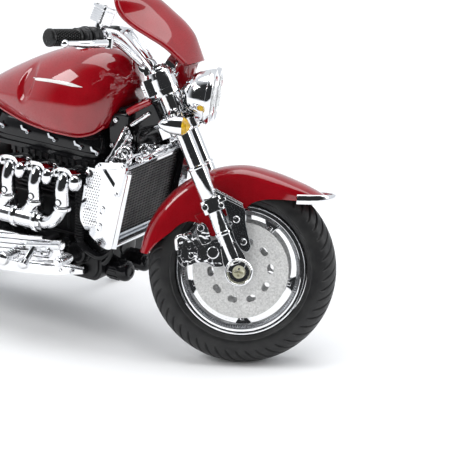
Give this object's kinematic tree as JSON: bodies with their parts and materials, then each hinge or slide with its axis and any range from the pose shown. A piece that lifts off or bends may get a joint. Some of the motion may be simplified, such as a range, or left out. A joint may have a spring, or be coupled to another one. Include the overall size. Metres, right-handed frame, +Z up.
{
  "type": "model motorcycle",
  "caption": "Die-cast style scale model of a long, low cruiser motorcycle with a flyscreen, in-line engine, side exhausts, turning front end, sprung wheels and a side stand.",
  "frame": {"origin": "bottom centre of the model's bounding box as it stands on its tyres and side stand, with the steering turned to the left", "axes": "+X forward along the motorcycle, +Y to the rider's left, +Z up"},
  "size_m": [0.2416, 0.091, 0.1311],
  "materials": {
    "paint": "deep red lacquer under a high-gloss clear coat",
    "rear_paint": "deep red lacquer under a high-gloss clear coat",
    "chrome_plate": "vacuum-plated bright chrome over moulded plastic, slightly uneven",
    "black_plastic": "satin black moulded plastic with soft mould edges",
    "silver_plastic": "satin silver-grey paint",
    "disc_metal": "fine speckled grey, satin",
    "tyre": "satin soft rubber with a moulded tread",
    "grip": "knurled black, satin",
    "seat": "black moulded seat with leather grain and stitched seams",
    "lens_clear": "clear moulded lens with fine flutes",
    "lens_red": "translucent red moulded lens"
  },
  "bodies": {
    "chassis": {"main_frame": "black_plastic", "crankcase": "black_plastic", "cylinder_block": "black_plastic", "cam_cover": "black_plastic", "oil_filter": "black_plastic", "header_pipe_front": "chrome_plate", "header_pipe_middle": "chrome_plate", "header_pipe_rear": "chrome_plate", "exhaust_collector": "chrome_plate", "silencer_right": "chrome_plate", "silencer_left": "chrome_plate", "radiator_core": "black_plastic", "radiator_shroud": "chrome_plate", "fuel_tank": "paint", "filler_cap": "chrome_plate", "rider_seat": "seat", "pillion_seat": "seat", "rear_fender": "rear_paint", "tail_light": "lens_red", "rear_signal_right": "chrome_plate", "rear_signal_left": "chrome_plate", "shock_right": "chrome_plate", "shock_left": "chrome_plate", "footrest_right": "chrome_plate", "brake_pedal": "chrome_plate", "footrest_left": "chrome_plate", "gear_lever": "chrome_plate"},
    "steering": {"lower_yoke": "chrome_plate", "upper_yoke": "chrome_plate", "handlebar": "chrome_plate", "grip_right": "grip", "grip_left": "grip", "brake_lever": "chrome_plate", "clutch_lever": "chrome_plate", "brake_reservoir": "silver_plastic", "headlight_right": "chrome_plate", "headlight_left": "chrome_plate", "headlight_lens_right": "lens_clear", "headlight_lens_left": "lens_clear", "front_signal_right": "chrome_plate", "front_signal_left": "chrome_plate", "flyscreen": "paint", "fork_tube_right": "chrome_plate", "fork_tube_left": "chrome_plate"},
    "fork_slider": {"fork_leg_right": "chrome_plate", "fork_leg_left": "chrome_plate", "front_axle": "chrome_plate", "front_fender": "paint", "fender_trim": "chrome_plate", "caliper_right": "chrome_plate", "caliper_left": "chrome_plate"},
    "front_wheel": {"front_tyre": "tyre", "front_rim": "chrome_plate", "front_disc_right": "disc_metal", "front_disc_left": "disc_metal"},
    "swingarm": {"swingarm": "black_plastic"},
    "rear_wheel": {"rear_tyre": "tyre", "rear_rim": "chrome_plate", "rear_disc": "disc_metal"},
    "kickstand": {"kickstand": "chrome_plate"}
  },
  "joints": [
    {"name": "steering", "type": "hinge", "parent": "chassis", "child": "steering", "pos_m": [0.05911, 0.0053, 0.08377], "axis": [-0.4617, 0, 0.887], "range_deg": [-70, 2]},
    {"name": "front_suspension", "type": "slide", "parent": "steering", "child": "fork_slider", "axis": [-0.4617, 0, 0.887], "range_m": [0, 0.003], "stiffness_N_per_m": 2500, "springref_m": -0.0024},
    {"name": "front_wheel_spin", "type": "hinge", "parent": "fork_slider", "child": "front_wheel", "pos_m": [0.09071, 0.00826, 0.03258], "axis": [-0.496, 0.829, -0.2582], "continuous": true},
    {"name": "rear_suspension", "type": "hinge", "parent": "chassis", "child": "swingarm", "pos_m": [-0.02949, 0.0053, 0.038], "axis": [0, 1, 0], "range_deg": [0, 4], "stiffness_Nm_per_rad": 3, "springref_deg": -8.59},
    {"name": "rear_wheel_spin", "type": "hinge", "parent": "swingarm", "child": "rear_wheel", "pos_m": [-0.07799, 0.0053, 0.0323], "axis": [0, 1, 0], "continuous": true},
    {"name": "kickstand_fold", "type": "hinge", "parent": "chassis", "child": "kickstand", "pos_m": [0.00051, 0.0225, 0.021], "axis": [0, 0.7071, 0.7071], "range_deg": [0, 100]}
  ]
}
